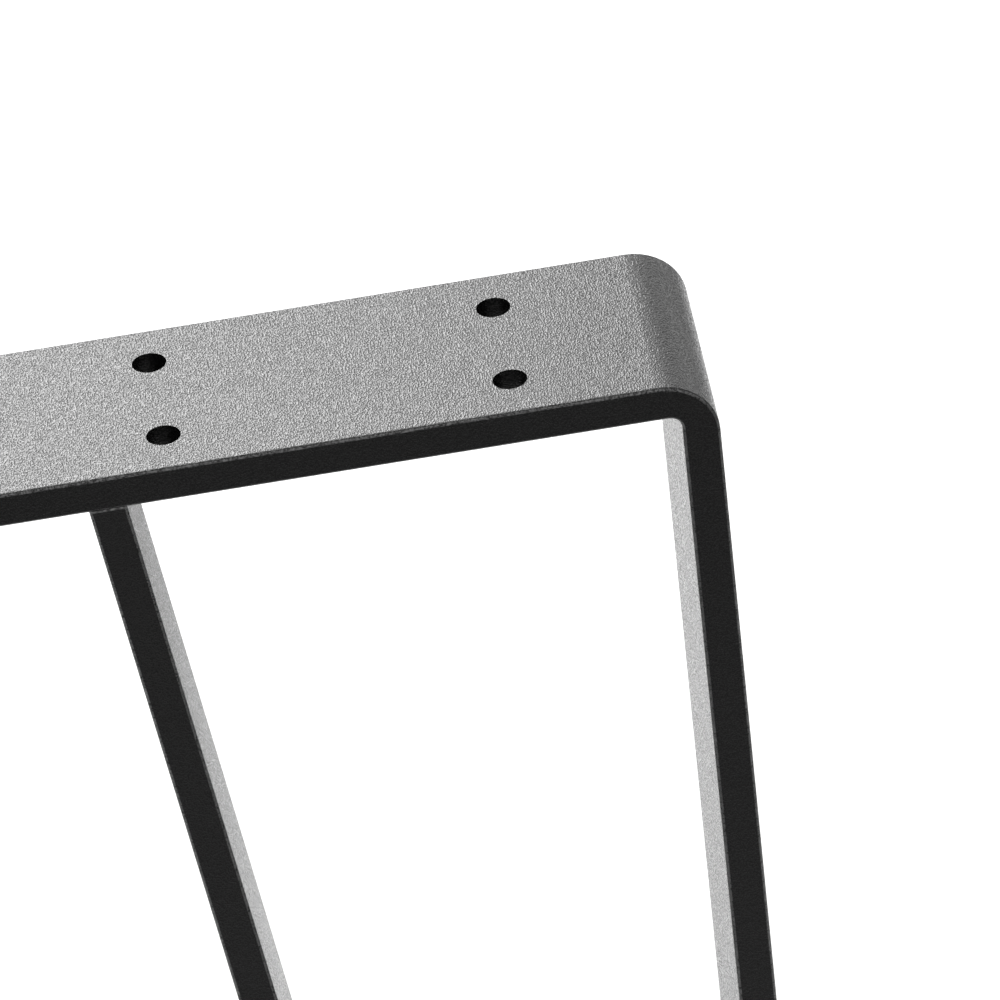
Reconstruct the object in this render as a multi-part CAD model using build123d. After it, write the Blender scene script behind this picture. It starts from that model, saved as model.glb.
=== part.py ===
"""Table leg bent from flat bar: drilled plate, upright strand, foot and slanted strand welded to the plate."""

from build123d import *

import os
from dataclasses import dataclass

# Driving dimensions in millimetres. +Z is up from the floor, X runs along the plate and Y across the bar.
BAR_WIDTH = 40.0
BAR_THICKNESS = 6.0
BAR_EDGE_RADIUS = 0.6
BEND_OUTER_RADIUS = 9.2
BEND_INNER_RADIUS = 2.0
FREE_END_RADIUS = 0.4

LEG_HEIGHT = 300.0
PLATE_LENGTH = 118.0
PLATE_OVERHANG = 18.0  # from the plate's free end to the slanted strand's outer face
FOOT_WIDTH = 57.0  # between the two outer faces, as if the foot's bends were sharp
FOOT_INSET = 6.0  # of the upright's outer face at the floor, from the plate's end

HOLE_DIAMETER = 5.5
HOLE_PITCH_ALONG = 55.0
HOLE_PITCH_ACROSS = 21.0

WELD_LEG = 2.5
WELD_BULGE = 0.3
WELD_END_MARGIN = 4.0
SEAM_RADIUS = 0.45
SEAM_PROUD = 0.1
SEAM_END_MARGIN = 0.4

# Places that follow from the driving dimensions.
half_thickness = BAR_THICKNESS / 2
plate_underside = LEG_HEIGHT - BAR_THICKNESS
plate_centre = LEG_HEIGHT - half_thickness
free_end = -PLATE_LENGTH / 2
bent_end = PLATE_LENGTH / 2
upright_joint = LEG_HEIGHT / 2


@dataclass(frozen=True)
class Strand:
    """A straight run of the bar, given by two points of its outer face and its inner side along X."""

    foot: Vector
    top: Vector
    inner_side: int

    @property
    def up(self) -> Vector:
        """The strand's own direction."""
        return (self.top - self.foot).normalized()

    def point(self, depth: float, height: float) -> Vector:
        """The point that lies a depth in from the outer face, at a height."""
        inward = Vector(self.up.Z, 0, -self.up.X) * self.inner_side
        start = self.foot + inward * depth
        return start + self.up * ((height - start.Z) / self.up.Z)


upright = Strand(
    foot=Vector(bent_end - FOOT_INSET, 0, 0),
    top=Vector(bent_end, 0, LEG_HEIGHT),
    inner_side=-1,
)
slanted = Strand(
    foot=Vector(bent_end - FOOT_INSET - FOOT_WIDTH, 0, 0),
    top=Vector(free_end + PLATE_OVERHANG, 0, plate_underside),
    inner_side=1,
)
slanted_top_inner = slanted.point(BAR_THICKNESS, plate_underside)


def bar_run(outer_points: list[Vector], inner_points: list[Vector]) -> Part:
    """A run of the bar between its outer and inner faces, bent at each inner point; long edges rounded."""
    outer = FilletPolyline(*outer_points, radius=BEND_OUTER_RADIUS)
    inner = FilletPolyline(*inner_points, radius=BEND_INNER_RADIUS)
    ends = [Line(outer @ 0, inner @ 0), Line(outer @ 1, inner @ 1)]
    run = extrude(make_face([*outer.edges(), *inner.edges(), *ends]), BAR_WIDTH / 2, both=True)
    long_edges = ShapeList()
    for side in (run.faces().sort_by(Axis.Y)[0], run.faces().sort_by(Axis.Y)[-1]):
        across = Vector(0, side.center().Y, 0)
        end_middles = [end @ 0.5 + across for end in ends]
        long_edges += [edge for edge in side.edges() if edge.center() not in end_middles]
    return fillet(long_edges, BAR_EDGE_RADIUS)


def plate_and_upright() -> Part:
    """The drilled plate, its bend and the upper half of the upright strand."""
    run = bar_run(
        [
            Vector(free_end, 0, LEG_HEIGHT),
            upright.point(0, LEG_HEIGHT),
            upright.point(0, upright_joint),
        ],
        [
            Vector(free_end, 0, plate_underside),
            upright.point(BAR_THICKNESS, plate_underside),
            upright.point(BAR_THICKNESS, upright_joint),
        ],
    )
    cut_face = run.faces().sort_by(Axis.X)[0]
    run = fillet(cut_face.edges(), FREE_END_RADIUS)
    hole = Cylinder(HOLE_DIAMETER / 2, 2 * BAR_THICKNESS)
    pattern = Pos(0, 0, plate_centre) * GridLocations(HOLE_PITCH_ALONG, HOLE_PITCH_ACROSS, 2, 2)
    return run - [place * hole for place in pattern]


def foot_and_return() -> Part:
    """The upright's lower half, the foot and the slanted strand, which is cut to lie flat under the plate."""
    return bar_run(
        [
            upright.point(0, upright_joint),
            upright.point(0, 0),
            slanted.point(0, 0),
            slanted.point(0, plate_underside),
        ],
        [
            upright.point(BAR_THICKNESS, upright_joint),
            upright.point(BAR_THICKNESS, BAR_THICKNESS),
            slanted.point(BAR_THICKNESS, BAR_THICKNESS),
            slanted.point(BAR_THICKNESS, plate_underside),
        ],
    )


def corner_bead(corner: Vector, along_plate: Vector) -> Part:
    """A slightly bulged fillet weld between the plate's underside and one face of the slanted strand."""
    root = corner - along_plate * half_thickness + Vector(0, 0, half_thickness)
    on_plate = corner + along_plate * WELD_LEG
    on_strand = corner - slanted.up * WELD_LEG
    outward = (along_plate - slanted.up).normalized()
    crown = (on_plate + on_strand) / 2 + outward * WELD_BULGE
    outline = [Line(root, on_plate), ThreePointArc(on_plate, crown, on_strand), Line(on_strand, root)]
    return extrude(make_face(outline), BAR_WIDTH / 2 - WELD_END_MARGIN, both=True)


def edge_seam(side: int) -> Part:
    """The thin weld that fills the groove over the slanted strand's end, on one edge of the bar."""
    length = slanted_top_inner.X - slanted.top.X - 2 * SEAM_END_MARGIN
    middle = (slanted.top + slanted_top_inner) / 2
    depth = BAR_WIDTH / 2 + SEAM_PROUD - SEAM_RADIUS
    return Pos(middle.X, side * depth, middle.Z) * Rot(0, 90, 0) * Cylinder(SEAM_RADIUS, length)


leg_bar = plate_and_upright() + foot_and_return()
weld_runs = [
    corner_bead(slanted_top_inner, Vector(1, 0, 0)),
    corner_bead(slanted.top, Vector(-1, 0, 0)),
    edge_seam(-1),
    edge_seam(1),
]
weld_beads = Compound([solid for run in weld_runs for solid in (run - leg_bar).solids()])

os.makedirs("parts", exist_ok=True)
for name, shape in {"leg_bar": leg_bar, "weld_beads": weld_beads}.items():
    export_step(shape, f"parts/{name}.step")
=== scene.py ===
"""Looks of a flat-bar table leg: its powder-coated bar, the welds under its plate and a white studio."""

import logging
import math
from dataclasses import dataclass, field
from enum import Enum

import bmesh
import bpy
from bpy.types import Material, Node, NodeSocket, NodeTree, Object
from mathutils import Euler, Matrix, Vector


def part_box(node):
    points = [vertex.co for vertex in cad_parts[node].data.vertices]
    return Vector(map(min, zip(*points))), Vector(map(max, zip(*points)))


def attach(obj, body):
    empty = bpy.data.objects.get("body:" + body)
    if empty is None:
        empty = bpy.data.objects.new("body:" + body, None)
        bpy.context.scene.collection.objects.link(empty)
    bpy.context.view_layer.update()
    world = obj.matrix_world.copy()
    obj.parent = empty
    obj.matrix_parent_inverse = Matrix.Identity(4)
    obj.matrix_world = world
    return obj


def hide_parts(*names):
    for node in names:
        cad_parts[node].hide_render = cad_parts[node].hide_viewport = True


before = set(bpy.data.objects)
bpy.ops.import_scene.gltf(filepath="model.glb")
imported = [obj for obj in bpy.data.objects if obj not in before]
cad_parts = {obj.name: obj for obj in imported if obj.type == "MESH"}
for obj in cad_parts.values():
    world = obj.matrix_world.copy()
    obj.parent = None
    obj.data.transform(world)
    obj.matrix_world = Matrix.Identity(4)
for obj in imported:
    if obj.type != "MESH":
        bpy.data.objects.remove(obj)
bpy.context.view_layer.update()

log = logging.getLogger("table_leg")

MM = 0.001
BODY = "root"
BAR_NODE = "leg_bar"
WELD_NODE = "weld_beads"
WELD_PIECE = "weld_runs"

# Sockets of a Mix node that is set to mix colours.
MIX_MASK = 0
MIX_FIRST = 6
MIX_SECOND = 7
MIX_RESULT = 2


class Slot(Enum):
    """The record's material slots."""

    BAR = "powder_coat"
    WELD = "coated_weld"


class Socket(Enum):
    """Kinds of socket on a shader node group."""

    VALUE = "NodeSocketFloat"
    COLOUR = "NodeSocketColor"
    PLACE = "NodeSocketVector"


def neutral(shade: float) -> tuple[float, float, float, float]:
    """A grey of one shade."""
    return (shade, shade, shade, 1.0)


class Wiring:
    """Adds nodes to one node tree and wires them up."""

    def __init__(self, tree: NodeTree) -> None:
        """Starts on a tree that may already hold nodes."""
        self.tree = tree

    def add(self, kind: str, inputs: dict | None = None, **settings: object) -> Node:
        """Adds a node, sets it up and wires its inputs.

        Args:
            kind: the node's type name.
            inputs: a value or another node's output socket for each input, by name or number.
            settings: the node's own properties.

        Returns:
            The new node.
        """
        node = self.tree.nodes.new(kind)
        for name, value in settings.items():
            setattr(node, name, value)
        for name, value in (inputs or {}).items():
            if isinstance(value, NodeSocket):
                self.tree.links.new(value, node.inputs[name])
            else:
                node.inputs[name].default_value = value
        return node

    def math(self, operation: str, *terms: object) -> NodeSocket:
        """Adds a Math node.

        Args:
            operation: what it does, such as "ADD".
            terms: numbers or output sockets, in order.

        Returns:
            Its output socket.
        """
        return self.add("ShaderNodeMath", dict(enumerate(terms)), operation=operation).outputs[0]

    def spread(self, source: NodeSocket, low: object, high: object) -> NodeSocket:
        """Maps a value from 0 to 1 onto a range.

        Args:
            source: the value's socket.
            low: what 0 becomes, a number or a socket.
            high: what 1 becomes, a number or a socket.

        Returns:
            The mapped value's socket.
        """
        limits = {"Value": source, "To Min": low, "To Max": high}
        return self.add("ShaderNodeMapRange", limits).outputs[0]

    def ramp(self, source: NodeSocket, start: float, stop: float) -> NodeSocket:
        """Rises from 0 to 1 as a value goes from one limit to another.

        Args:
            source: the value's socket.
            start: the value that becomes 0.
            stop: the value that becomes 1, above or below the start.

        Returns:
            The ramp's socket.
        """
        limits = {"Value": source, "From Min": start, "From Max": stop}
        return self.add("ShaderNodeMapRange", limits).outputs[0]

    def blend(self, mask: NodeSocket, first: object, second: object) -> NodeSocket:
        """Mixes two colours.

        Args:
            mask: 0 for the first colour and 1 for the second.
            first: a colour or its socket.
            second: a colour or its socket.

        Returns:
            The mixed colour's socket.
        """
        inputs = {MIX_MASK: mask, MIX_FIRST: first, MIX_SECOND: second}
        return self.add("ShaderNodeMix", inputs, data_type="RGBA").outputs[MIX_RESULT]


@dataclass(frozen=True)
class CoatGrain:
    """A powder coat's fine grain, slow orange peel and few dust nibs, the same in every coated finish."""

    grain_detail: float = 0.5
    grain_low: float = 0.3
    grain_high: float = 0.7
    grain_height: float = 0.75
    peel_ratio: float = 0.22
    peel_detail: float = 2.0
    peel_height: float = 0.08
    nib_cells_per_metre: float = 140.0
    nib_rarity: float = 0.93
    nib_reach: float = 0.035
    nib_shade: float = 4.0

    def group(self) -> NodeTree:
        """Builds the node group.

        Returns:
            The group, with a colour, a roughness and a height as outputs.
        """
        group = bpy.data.node_groups.new("coat_grain", "ShaderNodeTree")
        self.open_sockets(group)
        w = Wiring(group)
        given = w.add("NodeGroupInput").outputs
        grain = self.grain(w, given["Place"], given["Grains per Metre"])
        peel = self.peel(w, given["Place"], given["Grains per Metre"])
        nib = self.nib(w, given["Place"])
        darkest = w.math("SUBTRACT", 1.0, given["Shade Spread"])
        lightest = w.math("ADD", 1.0, given["Shade Spread"])
        shade = w.math("ADD", w.spread(grain, darkest, lightest), w.math("MULTIPLY", nib, self.nib_shade))
        colour = w.add("ShaderNodeVectorMath", {0: given["Colour"], "Scale": shade}, operation="SCALE")
        offset = w.math("MULTIPLY", w.math("SUBTRACT", grain, 0.5), given["Roughness Spread"])
        roughness = w.math("ADD", given["Roughness"], offset)
        height = w.math("MULTIPLY", grain, self.grain_height)
        height = w.math("ADD", height, w.math("MULTIPLY", peel, self.peel_height))
        height = w.math("ADD", height, nib)
        w.add("NodeGroupOutput", {"Colour": colour.outputs[0], "Roughness": roughness, "Height": height})
        return group

    def open_sockets(self, group: NodeTree) -> None:
        """Gives the group its named inputs and outputs.

        Args:
            group: the empty group.
        """
        sockets = (
            ("Place", "INPUT", Socket.PLACE),
            ("Colour", "INPUT", Socket.COLOUR),
            ("Roughness", "INPUT", Socket.VALUE),
            ("Grains per Metre", "INPUT", Socket.VALUE),
            ("Shade Spread", "INPUT", Socket.VALUE),
            ("Roughness Spread", "INPUT", Socket.VALUE),
            ("Colour", "OUTPUT", Socket.COLOUR),
            ("Roughness", "OUTPUT", Socket.VALUE),
            ("Height", "OUTPUT", Socket.VALUE),
        )
        for name, direction, kind in sockets:
            group.interface.new_socket(name=name, in_out=direction, socket_type=kind.value)

    def grain(self, w: Wiring, place: NodeSocket, fineness: NodeSocket) -> NodeSocket:
        """Makes the fine grain.

        Args:
            w: the group's wiring.
            place: where a point of the coat is.
            fineness: grains per metre.

        Returns:
            The grain, from 0 in its pits to 1 on its tops.
        """
        inputs = {"Vector": place, "Scale": fineness, "Detail": self.grain_detail}
        noise = w.add("ShaderNodeTexNoise", inputs).outputs["Fac"]
        return w.ramp(noise, self.grain_low, self.grain_high)

    def peel(self, w: Wiring, place: NodeSocket, fineness: NodeSocket) -> NodeSocket:
        """Makes the orange peel, which is coarser than the grain.

        Args:
            w: the group's wiring.
            place: where a point of the coat is.
            fineness: grains per metre.

        Returns:
            The peel, from 0 to 1.
        """
        coarser = w.math("MULTIPLY", fineness, self.peel_ratio)
        inputs = {"Vector": place, "Scale": coarser, "Detail": self.peel_detail}
        return w.add("ShaderNodeTexNoise", inputs).outputs["Fac"]

    def nib(self, w: Wiring, place: NodeSocket) -> NodeSocket:
        """Sets a dust nib in the middle of a few scattered cells.

        Args:
            w: the group's wiring.
            place: where a point of the coat is.

        Returns:
            The nibs' mask.
        """
        cells = w.add("ShaderNodeTexVoronoi", {"Vector": place, "Scale": self.nib_cells_per_metre})
        chance = w.add("ShaderNodeSeparateColor", {0: cells.outputs["Color"]}).outputs[0]
        rare = w.math("GREATER_THAN", chance, self.nib_rarity)
        close = w.math("LESS_THAN", cells.outputs["Distance"], self.nib_reach)
        return w.math("MULTIPLY", rare, close)


@dataclass(frozen=True)
class PaintedEdgeHighlight:
    """A painted highlight where the bar's edges turn, in a band at a distance from the bar's middle: a
    lighter grey and some metal stand in for light caught on the rounded edges.
    """

    start: float
    stop: float
    shade: float
    metal: float
    fade: float = 0.02 * MM
    highlight_on_tops: float = 1.6

    def mask(self, w: Wiring, place: NodeSocket, height: NodeSocket) -> NodeSocket:
        """Masks the band of painted highlight, most of all on the tops of the grain.

        Args:
            w: the material's wiring.
            place: where a point of the leg is.
            height: the grain's height there.

        Returns:
            The mask.
        """
        reach = w.math("ABSOLUTE", w.add("ShaderNodeSeparateXYZ", {0: place}).outputs[1])
        outside = w.ramp(reach, self.start, self.start + self.fade)
        inside = w.ramp(reach, self.stop, self.stop - self.fade)
        band = w.math("MULTIPLY", outside, inside)
        return w.math("MULTIPLY", band, w.spread(height, 0.0, self.highlight_on_tops))


@dataclass(frozen=True)
class PowderCoat:
    """A black, fine-textured powder coat."""

    slot: Slot
    shade: float
    roughness: float
    grain_size: float
    grain_depth: float
    shade_spread: float
    roughness_spread: float
    specular: float
    # Painted highlight on the turned edges: a lighter colour and some metal in place of light caught
    # there.
    painted_highlight: PaintedEdgeHighlight
    grain_draw: float = 1.613
    heat_dulling: float = 0.0
    heat_start: float = 180 * MM
    heat_stop: float = 294 * MM
    plate_line: float = 293.9 * MM

    def material(self, grain: NodeTree) -> Material:
        """Builds the material.

        Args:
            grain: the shared coat grain group.

        Returns:
            The material, named for the record's slot.
        """
        material = bpy.data.materials.new(self.slot.value + "_finish")
        material.use_nodes = True
        w = Wiring(material.node_tree)
        shader = material.node_tree.nodes["Principled BSDF"]
        place = w.add("ShaderNodeTexCoord").outputs["Object"]
        coat = self.coat(w, place, grain)
        height = coat.outputs["Height"]
        bump = w.add("ShaderNodeBump", {"Height": height, "Distance": self.grain_depth, "Strength": 1.0})
        roughness = coat.outputs["Roughness"]
        if self.heat_dulling:
            dulling = w.math("MULTIPLY", self.heat_zone(w, place), self.heat_dulling)
            roughness = w.math("ADD", roughness, dulling)
        # Painted highlight: the edge band's colour is blended to a pale grey and made partly metallic.
        painted_highlight = self.painted_highlight.mask(w, place, height)
        colour = w.blend(painted_highlight, coat.outputs["Colour"], neutral(self.painted_highlight.shade))
        w.tree.links.new(colour, shader.inputs["Base Color"])
        w.tree.links.new(w.math("MULTIPLY", painted_highlight, self.painted_highlight.metal), shader.inputs["Metallic"])
        w.tree.links.new(roughness, shader.inputs["Roughness"])
        w.tree.links.new(bump.outputs["Normal"], shader.inputs["Normal"])
        shader.inputs["Specular IOR Level"].default_value = self.specular
        return material

    def coat(self, w: Wiring, place: NodeSocket, grain: NodeTree) -> Node:
        """Places the coat grain group, with the grain drawn out across the bar.

        Args:
            w: the material's wiring.
            place: where a point of the leg is.
            grain: the shared coat grain group.

        Returns:
            The group's node.
        """
        drawn_out = w.add(
            "ShaderNodeMapping",
            {"Vector": place, "Scale": (1.0, self.grain_draw, 1.0)},
            vector_type="TEXTURE",
        )
        inputs = {
            "Place": drawn_out.outputs[0],
            "Colour": neutral(self.shade),
            "Roughness": self.roughness,
            "Grains per Metre": 1.0 / self.grain_size,
            "Shade Spread": self.shade_spread,
            "Roughness Spread": self.roughness_spread,
        }
        return w.add("ShaderNodeGroup", inputs, node_tree=grain)

    def heat_zone(self, w: Wiring, place: NodeSocket) -> NodeSocket:
        """Masks the slanted strand, more and more towards the weld at its top.

        Args:
            w: the material's wiring.
            place: where a point of the leg is.

        Returns:
            The mask.
        """
        x, _, z = w.add("ShaderNodeSeparateXYZ", {0: place}).outputs
        near = w.ramp(z, self.heat_start, self.heat_stop)
        below_plate = w.math("LESS_THAN", z, self.plate_line)
        strand = w.math("MULTIPLY", w.math("LESS_THAN", x, 0.0), below_plate)
        return w.math("MULTIPLY", near, strand)


@dataclass
class LegBar:
    """The bar itself, bent into a closed frame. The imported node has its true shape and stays."""

    finish: PowderCoat
    thickness: float = 6 * MM

    @property
    def node(self) -> Object:
        """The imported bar."""
        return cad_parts[BAR_NODE]

    @property
    def underside(self) -> float:
        """The height of the plate's underside."""
        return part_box(BAR_NODE)[1].z - self.thickness

    def dress(self, grain: NodeTree) -> Object:
        """Puts the coat on the bar.

        Args:
            grain: the shared coat grain group.

        Returns:
            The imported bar.
        """
        self.node.material_slots[0].material = self.finish.material(grain)
        return self.node


@dataclass
class WeldRun:
    """One rippled weld bead, modelled along Y at the origin, then turned, placed and trimmed."""

    name: str
    radius: float
    length: float
    pitch: float
    place: Vector
    turn: float
    crown: Vector
    cuts: list[tuple[Vector, Vector]]
    sides: int = 28
    swells: tuple[float, ...] = (1.03, 1.05, 1.0, 0.95)
    lag: float = 0.4
    # How far each step of an end narrows, and how far it goes on, in radii.
    end_steps: tuple[tuple[float, float], ...] = ((0.8, 0.3), (0.5, 0.2))
    merge_distance: float = 0.01 * MM
    flow_levels: int = 1
    cut_tolerance: float = 0.0001 * MM
    crease_angle: float = math.radians(40)

    def build(self) -> Object:
        """Models the bead.

        Returns:
            The bead, with its place in its mesh.
        """
        bead = self.first_ripple()
        self.repeat(bead)
        self.arch_ripples(bead)
        self.close_ends(bead)
        self.smooth(bead)
        self.put_in_place(bead)
        self.trim(bead)
        return bead

    def first_ripple(self) -> Object:
        """Extrudes a ring along Y, step by step, with a swell that makes one ripple.

        Returns:
            The bead with its first ripple.
        """
        start = -self.length / 2
        bpy.ops.object.select_all(action="DESELECT")
        bpy.ops.mesh.primitive_circle_add(
            vertices=self.sides,
            radius=self.radius,
            location=(0, start, 0),
            rotation=(math.pi / 2, 0, 0),
        )
        bead = bpy.context.object
        bead.name = self.name
        bpy.ops.object.transform_apply(location=True, rotation=True, scale=True)
        bpy.ops.object.mode_set(mode="EDIT")
        bpy.ops.mesh.select_all(action="SELECT")
        step = self.pitch / len(self.swells)
        last = self.swells[-1]
        bpy.ops.transform.resize(value=(last, 1, last), center_override=(0, start, 0))
        for number, swell in enumerate(self.swells, 1):
            bpy.ops.mesh.extrude_region_move(TRANSFORM_OT_translate={"value": (0, step, 0)})
            grow = swell / last
            centre = (0, start + step * number, 0)
            bpy.ops.transform.resize(value=(grow, 1, grow), center_override=centre)
            last = swell
        bpy.ops.object.mode_set(mode="OBJECT")
        return bead

    def repeat(self, bead: Object) -> None:
        """Repeats the ripple over the bead's length.

        Args:
            bead: the bead with one ripple.
        """
        row = bead.modifiers.new("ripples", "ARRAY")
        row.use_relative_offset = False
        row.use_constant_offset = True
        row.constant_offset_displace = (0, self.pitch, 0)
        row.count = round(self.length / self.pitch)
        row.use_merge_vertices = True
        row.merge_threshold = self.merge_distance
        bpy.ops.object.modifier_apply(modifier=row.name)

    def arch_ripples(self, bead: Object) -> None:
        """Draws the ripples' middles ahead of their sides, as a weld pool leaves them.

        Args:
            bead: the bead with all its ripples.
        """
        bpy.ops.object.mode_set(mode="EDIT")
        half_side = math.cos(math.pi / self.sides)
        for side in range(self.sides):
            angle = 2 * math.pi * side / self.sides
            ray = Vector((math.cos(angle), 0, math.sin(angle)))
            ahead = max(0.0, ray.dot(self.crown)) * self.lag * self.pitch
            if ahead > 0:
                mesh = bmesh.from_edit_mesh(bead.data)
                for vertex in mesh.verts:
                    flat = Vector((vertex.co.x, 0, vertex.co.z)).normalized()
                    vertex.select = flat.dot(ray) > half_side
                mesh.select_flush_mode()
                bmesh.update_edit_mesh(bead.data)
                bpy.ops.transform.translate(value=(0, ahead, 0))
        bpy.ops.object.mode_set(mode="OBJECT")

    def close_ends(self, bead: Object) -> None:
        """Rounds off and closes both ends.

        Args:
            bead: the open bead.
        """
        bpy.ops.object.mode_set(mode="EDIT")
        for way in (-1, 1):
            mesh = bmesh.from_edit_mesh(bead.data)
            for edge in mesh.edges:
                edge.select_set(False)
            for edge in mesh.edges:
                if edge.is_boundary and edge.verts[0].co.y * way > 0:
                    edge.select_set(True)
            bmesh.update_edit_mesh(bead.data)
            for shrink, step in self.end_steps:
                move = {"value": (0, way * step * self.radius, 0)}
                bpy.ops.mesh.extrude_region_move(TRANSFORM_OT_translate=move)
                bpy.ops.transform.resize(value=(shrink, 1, shrink), center_override=(0, 0, 0))
            bpy.ops.mesh.edge_face_add()
        bpy.ops.mesh.select_all(action="SELECT")
        bpy.ops.mesh.normals_make_consistent(inside=False)
        bpy.ops.object.mode_set(mode="OBJECT")

    def smooth(self, bead: Object) -> None:
        """Softens the ripples, as the coat over them does.

        Args:
            bead: the closed bead.
        """
        flow = bead.modifiers.new("flow", "SUBSURF")
        flow.levels = self.flow_levels
        flow.render_levels = self.flow_levels
        bpy.ops.object.modifier_apply(modifier=flow.name)

    def put_in_place(self, bead: Object) -> None:
        """Turns the bead about Z, moves it to its corner and puts that into its mesh.

        Args:
            bead: the bead at the origin.
        """
        bead.rotation_euler = (0, 0, self.turn)
        bead.location = self.place
        bpy.ops.object.transform_apply(location=True, rotation=True, scale=True)

    def trim(self, bead: Object) -> None:
        """Cuts the bead flush with the faces that it joins.

        Args:
            bead: the placed bead.
        """
        bpy.ops.object.mode_set(mode="EDIT")
        for point, outward in self.cuts:
            bpy.ops.mesh.select_all(action="SELECT")
            bpy.ops.mesh.bisect(
                plane_co=point,
                plane_no=outward,
                use_fill=True,
                clear_inner=True,
                threshold=self.cut_tolerance,
            )
        bpy.ops.mesh.select_all(action="SELECT")
        bpy.ops.mesh.normals_make_consistent(inside=False)
        bpy.ops.object.mode_set(mode="OBJECT")
        bpy.ops.object.shade_smooth_by_angle(angle=self.crease_angle)


@dataclass
class WeldBeads:
    """The welds that close the frame where the slanted strand meets the plate's underside."""

    finish: PowderCoat
    bar: LegBar
    overhang: float = 18 * MM
    lean: float = math.radians(7.17)
    bead_radius: float = 2.0 * MM
    bead_offset: float = 0.45 * MM
    bead_pitch: float = 1.6 * MM
    end_margin: float = 4 * MM
    bite: float = 0.05 * MM
    seam_radius: float = 0.22 * MM
    seam_proud: float = 0.08 * MM
    seam_pitch: float = 0.7 * MM
    seam_margin: float = 0.2 * MM
    seam_sides: int = 20

    @property
    def outer_face(self) -> float:
        """Where the slanted strand's outer face meets the plate, along X."""
        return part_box(BAR_NODE)[0].x + self.overhang

    @property
    def joint_length(self) -> float:
        """The length of the slanted strand's cut end, along X."""
        return self.bar.thickness / math.cos(self.lean)

    def build(self, grain: NodeTree) -> Object:
        """Models all four welds as one piece and dresses them.

        Args:
            grain: the shared coat grain group.

        Returns:
            The welds.
        """
        runs = [run.build() for run in self.corner_beads() + self.edge_seams()]
        bpy.ops.object.select_all(action="DESELECT")
        for run in runs:
            run.select_set(True)
        bpy.context.view_layer.objects.active = runs[0]
        bpy.ops.object.join()
        welds = bpy.context.object
        welds.name = WELD_PIECE
        welds.data.name = WELD_PIECE
        welds.data.materials.append(self.finish.material(grain))
        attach(welds, BODY)
        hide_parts(WELD_NODE)
        return welds

    def corner_beads(self) -> list[WeldRun]:
        """Works out the beads in the inner and outer corner under the plate.

        Returns:
            The two beads.
        """
        low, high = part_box(BAR_NODE)
        down = Vector((math.sin(self.lean), 0, -math.cos(self.lean)))
        inward = Vector((math.cos(self.lean), 0, math.sin(self.lean)))
        beads = []
        for name, x, along, face in (
            ("inner_bead", self.outer_face + self.joint_length, Vector((1, 0, 0)), inward),
            ("outer_bead", self.outer_face, Vector((-1, 0, 0)), -inward),
        ):
            corner = Vector((x, 0, self.bar.underside))
            crown = (along + down).normalized()
            bead = WeldRun(
                name=name,
                radius=self.bead_radius,
                length=high.y - low.y - 2 * self.end_margin,
                pitch=self.bead_pitch,
                place=corner + crown * self.bead_offset,
                turn=0.0,
                crown=crown,
                cuts=[
                    (corner + Vector((0, 0, self.bite)), Vector((0, 0, -1))),
                    (corner - face * self.bite, face),
                ],
            )
            beads.append(bead)
        return beads

    def edge_seams(self) -> list[WeldRun]:
        """Works out the seams on the bar's front and back edges.

        Returns:
            The two seams.
        """
        low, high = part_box(BAR_NODE)
        seams = []
        for name, edge, way in (("front_seam", low.y, -1), ("back_seam", high.y, 1)):
            depth = edge + way * (self.seam_proud - self.seam_radius)
            middle = Vector((self.outer_face + self.joint_length / 2, depth, self.bar.underside))
            seam = WeldRun(
                name=name,
                radius=self.seam_radius,
                length=self.joint_length - 2 * self.seam_margin,
                pitch=self.seam_pitch,
                place=middle,
                turn=math.pi / 2,
                crown=Vector((-way, 0, 0)),
                cuts=[(middle, Vector((0, way, 0)))],
                sides=self.seam_sides,
            )
            seams.append(seam)
        return seams


@dataclass(frozen=True)
class Softbox:
    """A large soft lamp, aimed at the leg or at the floor near it."""

    name: str
    place: tuple[float, float, float]
    aim: tuple[float, float, float]
    size: tuple[float, float]
    brightness: float
    spread: float = math.pi

    def hang(self) -> Object:
        """Hangs the lamp.

        Returns:
            The lamp, whose power follows from its brightness and size.
        """
        lamp = bpy.data.lights.new(self.name, "AREA")
        lamp.shape = "RECTANGLE"
        lamp.size, lamp.size_y = self.size
        lamp.spread = self.spread
        lamp.energy = self.brightness * math.pi * self.size[0] * self.size[1]
        hung = bpy.data.objects.new(self.name, lamp)
        bpy.context.scene.collection.objects.link(hung)
        hung.location = self.place
        way = Vector(self.aim) - Vector(self.place)
        hung.rotation_euler = way.to_track_quat("-Z", "Y").to_euler()
        hung.visible_camera = False
        return hung


def softboxes() -> list[Softbox]:
    """Lists the studio's lamps.

    Returns:
        The lamps behind and above the leg, then the two that light the floor beside it.
    """
    return [
        Softbox(
            name="back_softbox",
            place=(-0.18, 0.75, 0.80),
            aim=(0.0, 0.0, 0.3),
            size=(0.53, 0.45),
            brightness=13.4,
        ),
        Softbox(
            name="top_softbox",
            place=(0.0, 0.5, 1.3),
            aim=(0.0, 0.46, 0.0),
            size=(0.8, 0.6),
            brightness=1.6,
            spread=math.radians(75),
        ),
        Softbox(
            name="feather_softbox",
            place=(0.23, 0.75, 0.80),
            aim=(0.0, 0.0, 0.3),
            size=(0.25, 0.45),
            brightness=2.2,
        ),
        Softbox(
            name="bend_softbox",
            place=(0.7, 0.95, 0.4),
            aim=(0.0, 0.0, 0.28),
            size=(0.8, 0.6),
            brightness=0.7,
        ),
        Softbox(
            name="left_softbox",
            place=(-0.7, 0.0, 0.5),
            aim=(-0.34, -0.06, 0.0),
            size=(0.3, 0.3),
            brightness=0.8,
            spread=math.radians(50),
        ),
        Softbox(
            name="right_softbox",
            place=(0.7, 0.0, 0.5),
            aim=(0.34, -0.06, 0.0),
            size=(0.3, 0.3),
            brightness=0.8,
            spread=math.radians(50),
        ),
    ]


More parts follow.
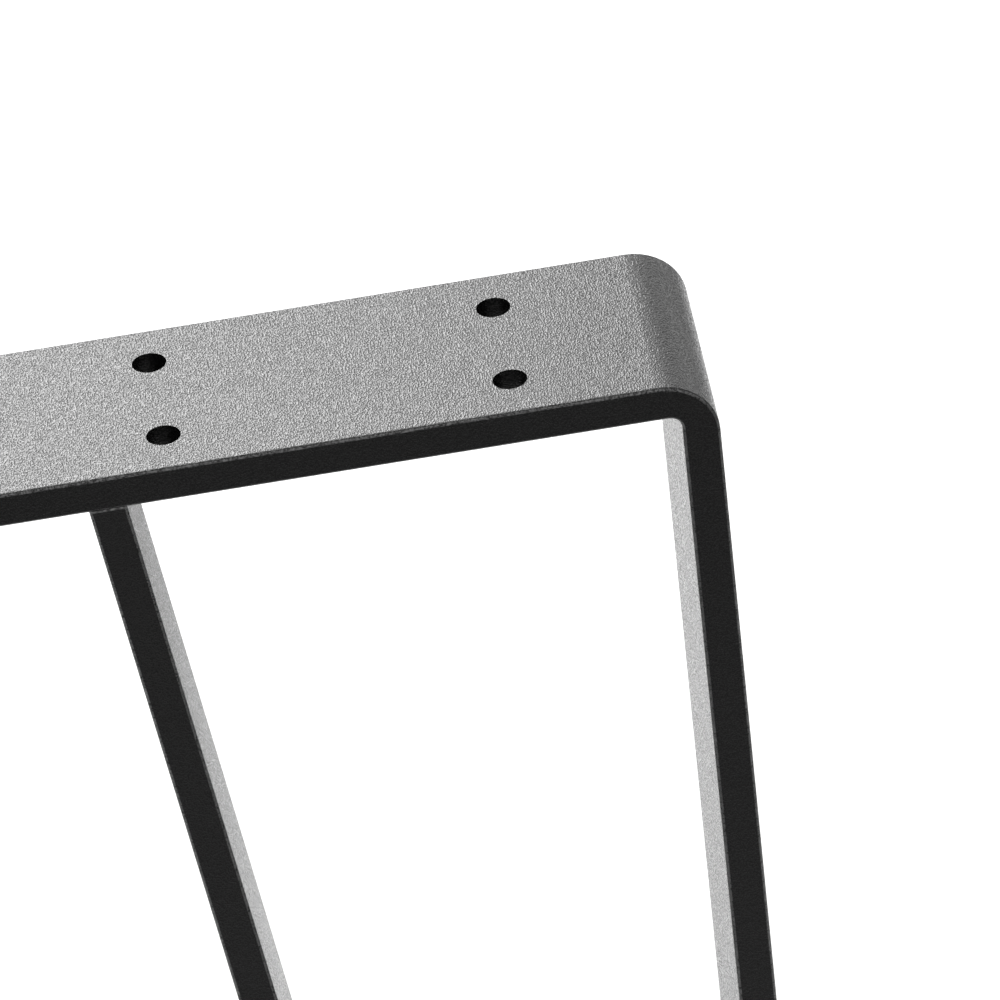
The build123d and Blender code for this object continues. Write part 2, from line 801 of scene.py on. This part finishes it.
@dataclass
class Studio:
    """A plain pale floor, soft light from behind and above, a white surround and the camera."""

    floor_radius: float = 4.0
    floor_sides: int = 96
    floor_gap: float = 0.1 * MM
    floor_shade: float = 0.86
    floor_roughness: float = 0.9
    surround_fill: float = 0.1
    camera_aim: tuple[float, float, float] = (0.02404, 0.0, 0.27073)
    camera_distance: float = 2.68906
    camera_elevation: float = math.radians(33.893)
    camera_yaw: float = math.radians(-2.989)
    camera_roll: float = math.radians(-7.512)
    camera_lens: float = 612.0
    camera_sensor: float = 36.0
    lamps: list[Softbox] = field(default_factory=softboxes)

    def build(self) -> None:
        """Sets up the whole studio."""
        bpy.context.scene.view_settings.view_transform = "Standard"
        self.lay_floor()
        self.surround()
        for lamp in self.lamps:
            lamp.hang()
        self.stand_camera()

    def lay_floor(self) -> Object:
        """Lays the floor a hair under the foot, so that the two faces don't coincide.

        Returns:
            The floor, which isn't part of the leg.
        """
        bpy.ops.object.select_all(action="DESELECT")
        bpy.ops.mesh.primitive_circle_add(
            vertices=self.floor_sides,
            radius=self.floor_radius,
            fill_type="NGON",
            location=(0, 0, -self.floor_gap),
        )
        floor = bpy.context.object
        floor.name = "floor"
        paper = bpy.data.materials.new("floor_paper")
        paper.use_nodes = True
        shader = paper.node_tree.nodes["Principled BSDF"]
        shader.inputs["Base Color"].default_value = neutral(self.floor_shade)
        shader.inputs["Roughness"].default_value = self.floor_roughness
        shader.inputs["Specular IOR Level"].default_value = 0.0
        floor.data.materials.append(paper)
        return floor

    def surround(self) -> None:
        """Makes the surround white to the eye and in reflections, and a soft fill elsewhere."""
        world = bpy.data.worlds.new("surround")
        bpy.context.scene.world = world
        world.use_nodes = True
        w = Wiring(world.node_tree)
        seen = w.add("ShaderNodeLightPath").outputs
        plain = w.math("MAXIMUM", seen["Is Camera Ray"], seen["Is Glossy Ray"])
        plain = w.math("MAXIMUM", plain, seen["Is Transmission Ray"])
        shader = world.node_tree.nodes["Background"]
        shader.inputs["Color"].default_value = neutral(1.0)
        w.tree.links.new(w.spread(plain, self.surround_fill, 1.0), shader.inputs["Strength"])

    def stand_camera(self) -> Object:
        """Stands the camera in front of the leg, above it and slightly turned.

        Returns:
            The camera, set as the scene's own.
        """
        lens = bpy.data.cameras.new("camera")
        lens.sensor_width = self.camera_sensor
        lens.lens = self.camera_lens
        camera = bpy.data.objects.new("camera", lens)
        bpy.context.scene.collection.objects.link(camera)
        turn = Euler((math.pi / 2 - self.camera_elevation, 0.0, self.camera_yaw)).to_matrix()
        turn = turn @ Matrix.Rotation(self.camera_roll, 3, "Z")
        camera.rotation_euler = turn.to_euler()
        camera.location = Vector(self.camera_aim) + turn.col[2] * self.camera_distance
        bpy.context.scene.camera = camera
        return camera


def main() -> None:
    """Builds the leg's finishes and welds, then the studio round it."""
    logging.basicConfig(level=logging.INFO, format="%(message)s")
    grain = CoatGrain().group()
    bar = LegBar(
        PowderCoat(
            slot=Slot.BAR,
            shade=0.011,
            roughness=0.26,
            grain_size=0.26 * MM,
            grain_depth=0.062 * MM,
            shade_spread=0.9,
            roughness_spread=-0.4,
            specular=0.3,
            # The pale band on the rounded edges is a painted highlight.
            painted_highlight=PaintedEdgeHighlight(start=19.76 * MM, stop=19.995 * MM, shade=0.2, metal=0.5),
            heat_dulling=0.15,
        )
    )
    log.info("dressed %s", bar.dress(grain).name)
    welds = WeldBeads(
        PowderCoat(
            slot=Slot.WELD,
            shade=0.02,
            roughness=0.42,
            grain_size=0.6 * MM,
            grain_depth=0.03 * MM,
            shade_spread=0.3,
            roughness_spread=0.1,
            specular=0.5,
            # The pale band on the front and back seams is a painted highlight, the light line along each
            # seam.
            painted_highlight=PaintedEdgeHighlight(start=19 * MM, stop=21 * MM, shade=0.2, metal=1.0),
        ),
        bar,
    )
    log.info("modelled %s", welds.build(grain).name)
    Studio().build()


if __name__ == "__main__":
    main()
